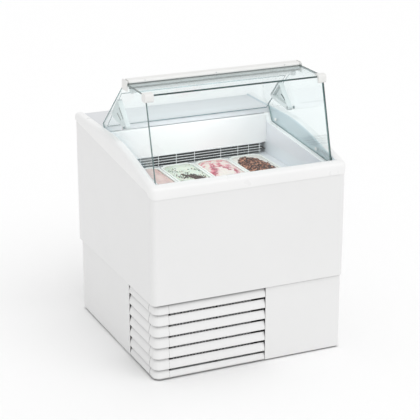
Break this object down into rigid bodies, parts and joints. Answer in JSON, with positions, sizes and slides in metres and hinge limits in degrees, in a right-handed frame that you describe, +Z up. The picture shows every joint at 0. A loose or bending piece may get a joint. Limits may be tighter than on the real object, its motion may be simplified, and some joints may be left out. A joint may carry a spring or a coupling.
{
  "type": "ice cream dipping cabinet",
  "caption": "Free-standing refrigerated ice cream display with a glass canopy, lift-up rear flap, lift-out pans and a louvred plinth.",
  "frame": {"origin": "on the floor, under the middle of the cabinet", "axes": "+Z up; -Y is the customer side (front glass), +Y the server side; +X is to the right of a viewer who faces the front"},
  "size_m": [0.886, 0.891, 1.2],
  "materials": {
    "white_sheet": "satin",
    "white_plastic": "satin",
    "grey_plastic": "satin",
    "black_plastic": "matte",
    "liner": "satin",
    "foam": "matte",
    "glass": "gloss",
    "acrylic": "gloss",
    "coated_wire": "satin",
    "aluminium": "satin",
    "steel": "satin",
    "copper": "satin",
    "compressor_black": "satin",
    "pan_white": "satin",
    "strawberry": "matte",
    "mint": "matte",
    "raspberry_ripple": "matte",
    "chocolate": "matte"
  },
  "bodies": {
    "cabinet": {"body_shell": "white_sheet", "cable_gland": "black_plastic", "chassis": "steel", "compressor": "compressor_black", "condenser_coil": "aluminium", "condenser_shroud": "steel", "control_panel": "grey_plastic", "corner_cap_left": "white_plastic", "corner_cap_right": "white_plastic", "discharge_line": "copper", "drip_tray": "black_plastic", "evaporator_coil": "aluminium", "evaporator_cover": "white_plastic", "evaporator_fan_plate": "aluminium", "flap_pin_left": "steel", "flap_pin_right": "steel", "foot_front_left": "black_plastic", "foot_front_right": "black_plastic", "foot_rear_left": "black_plastic", "foot_rear_right": "black_plastic", "front_glass": "glass", "insulation": "foam", "lamp_holder_left": "white_plastic", "lamp_holder_right": "white_plastic", "lamp_profile": "white_plastic", "lamp_tube": "glass", "louvre_corner": "white_plastic", "louvre_front": "white_plastic", "louvre_side": "white_plastic", "pan_rack": "coated_wire", "plinth_front": "white_sheet", "plinth_left": "white_sheet", "plinth_rear": "white_sheet", "plinth_right": "white_sheet", "profile_cap_left": "white_plastic", "profile_cap_right": "white_plastic", "rear_counter": "grey_plastic", "rim_frame": "white_plastic", "side_glass_left": "glass", "side_glass_right": "glass", "tank_liner": "liner", "top_glass": "glass", "wire_grid": "coated_wire"},
    "flap": {"rear_flap": "acrylic", "flap_arm_left": "white_plastic", "flap_arm_right": "white_plastic"},
    "evaporator_fan_left": {"evaporator_fan_left": "black_plastic"},
    "evaporator_fan_right": {"evaporator_fan_right": "black_plastic"},
    "condenser_fan": {"condenser_fan": "black_plastic"},
    "power_switch": {"power_switch": "black_plastic"},
    "light_switch": {"light_switch": "black_plastic"},
    "thermostat_knob": {"thermostat_knob": "black_plastic"},
    "pan_1": {"pan_1": "pan_white", "ice_cream_strawberry": "strawberry"},
    "pan_2": {"pan_2": "pan_white", "ice_cream_mint": "mint"},
    "pan_3": {"pan_3": "pan_white", "ice_cream_raspberry_ripple": "raspberry_ripple"},
    "pan_4": {"pan_4": "pan_white", "ice_cream_chocolate": "chocolate"}
  },
  "joints": [
    {"name": "flap_swing", "type": "hinge", "parent": "cabinet", "child": "flap", "pos_m": [0, -0.035, 0.984], "axis": [1, 0, 0], "range_deg": [0, 70]},
    {"name": "pan_1_lift", "type": "slide", "parent": "cabinet", "child": "pan_1", "axis": [0, 0, 1], "range_m": [0, 0.15]},
    {"name": "pan_2_lift", "type": "slide", "parent": "cabinet", "child": "pan_2", "axis": [0, 0, 1], "range_m": [0, 0.15]},
    {"name": "pan_3_lift", "type": "slide", "parent": "cabinet", "child": "pan_3", "axis": [0, 0, 1], "range_m": [0, 0.15]},
    {"name": "pan_4_lift", "type": "slide", "parent": "cabinet", "child": "pan_4", "axis": [0, 0, 1], "range_m": [0, 0.15]},
    {"name": "evaporator_fan_left_spin", "type": "hinge", "parent": "cabinet", "child": "evaporator_fan_left", "pos_m": [-0.18, 0.2815, 0.765], "axis": [0, 0, 1], "continuous": true},
    {"name": "evaporator_fan_right_spin", "type": "hinge", "parent": "cabinet", "child": "evaporator_fan_right", "pos_m": [0.18, 0.2815, 0.765], "axis": [0, 0, 1], "continuous": true},
    {"name": "condenser_fan_spin", "type": "hinge", "parent": "cabinet", "child": "condenser_fan", "pos_m": [-0.15, -0.3125, 0.165], "axis": [0, 1, 0], "continuous": true},
    {"name": "power_switch_rock", "type": "hinge", "parent": "cabinet", "child": "power_switch", "pos_m": [-0.285, 0.4323, 0.255], "axis": [-1, 0, 0], "range_deg": [0, 14]},
    {"name": "light_switch_rock", "type": "hinge", "parent": "cabinet", "child": "light_switch", "pos_m": [-0.255, 0.4323, 0.255], "axis": [-1, 0, 0], "range_deg": [0, 14]},
    {"name": "thermostat_turn", "type": "hinge", "parent": "cabinet", "child": "thermostat_knob", "pos_m": [-0.18, 0.4358, 0.255], "axis": [0, 1, 0], "range_deg": [0, 270]}
  ]
}
